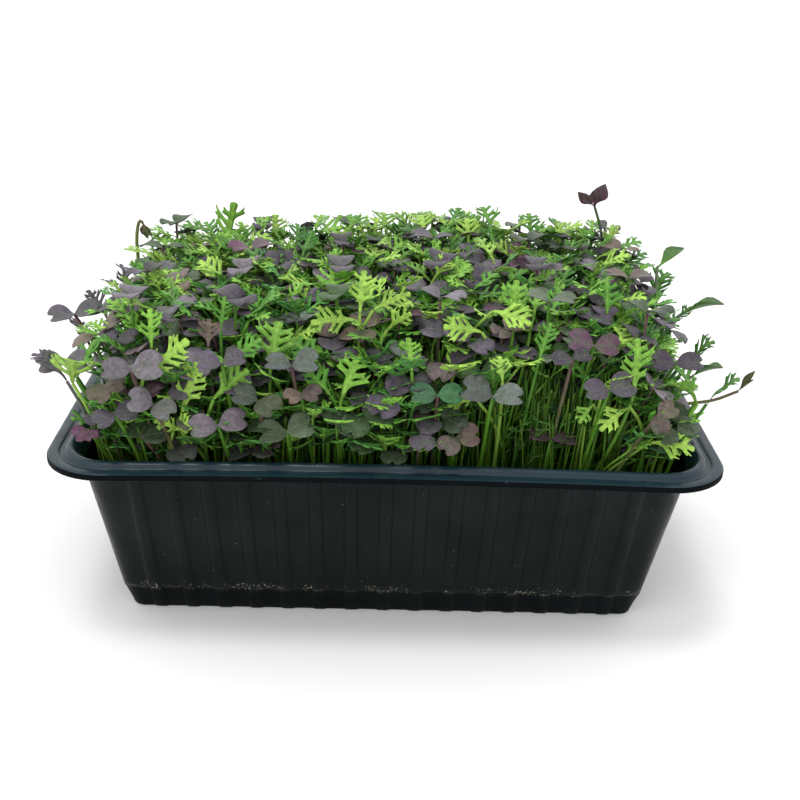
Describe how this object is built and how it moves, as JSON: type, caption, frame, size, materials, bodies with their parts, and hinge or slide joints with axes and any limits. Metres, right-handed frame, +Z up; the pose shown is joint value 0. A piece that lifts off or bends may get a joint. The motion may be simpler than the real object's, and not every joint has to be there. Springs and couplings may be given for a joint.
{
  "type": "microgreens tray",
  "caption": "Ribbed black plastic tray with a wide rounded flange, filled with growing medium and a dense stand of mixed red mustard and mizuna microgreens.",
  "frame": {"origin": "middle of the tray's flat underside, on the surface that it stands on", "axes": "+Z up out of the tray, +X along its long side to the right, -Y to the front long side"},
  "size_m": [0.2581, 0.1555, 0.1345],
  "materials": {
    "tray": "semi-gloss",
    "growing_medium": "rough",
    "mustard": "satin",
    "mizuna": "satin"
  },
  "bodies": {
    "root": {"tray": "tray", "growing_medium": "growing_medium", "mustard_clump_1_1": "mustard", "mustard_clump_1_2": "mustard", "mustard_clump_1_3": "mustard", "mustard_clump_1_4": "mustard", "mustard_clump_1_5": "mustard", "mustard_clump_1_6": "mustard", "mustard_clump_2_1": "mustard", "mustard_clump_2_2": "mustard", "mustard_clump_2_3": "mustard", "mustard_clump_2_4": "mustard", "mustard_clump_2_5": "mustard", "mustard_clump_2_6": "mustard", "mustard_clump_3_1": "mustard", "mustard_clump_3_2": "mustard", "mustard_clump_3_3": "mustard", "mustard_clump_3_4": "mustard", "mustard_clump_3_5": "mustard", "mustard_clump_3_6": "mustard", "mustard_clump_4_1": "mustard", "mustard_clump_4_2": "mustard", "mustard_clump_4_3": "mustard", "mustard_clump_4_4": "mustard", "mustard_clump_4_5": "mustard", "mustard_clump_4_6": "mustard", "mizuna_clump_1_1": "mizuna", "mizuna_clump_1_2": "mizuna", "mizuna_clump_1_3": "mizuna", "mizuna_clump_1_4": "mizuna", "mizuna_clump_1_5": "mizuna", "mizuna_clump_1_6": "mizuna", "mizuna_clump_1_7": "mizuna", "mizuna_clump_2_1": "mizuna", "mizuna_clump_2_2": "mizuna", "mizuna_clump_2_3": "mizuna", "mizuna_clump_2_4": "mizuna", "mizuna_clump_2_5": "mizuna", "mizuna_clump_2_6": "mizuna", "mizuna_clump_2_7": "mizuna", "mizuna_clump_3_1": "mizuna", "mizuna_clump_3_2": "mizuna", "mizuna_clump_3_3": "mizuna", "mizuna_clump_3_4": "mizuna", "mizuna_clump_3_5": "mizuna", "mizuna_clump_3_6": "mizuna", "mizuna_clump_3_7": "mizuna", "mizuna_clump_4_1": "mizuna", "mizuna_clump_4_2": "mizuna", "mizuna_clump_4_3": "mizuna", "mizuna_clump_4_4": "mizuna", "mizuna_clump_4_5": "mizuna", "mizuna_clump_4_6": "mizuna", "mizuna_clump_4_7": "mizuna"}
  },
  "joints": []
}
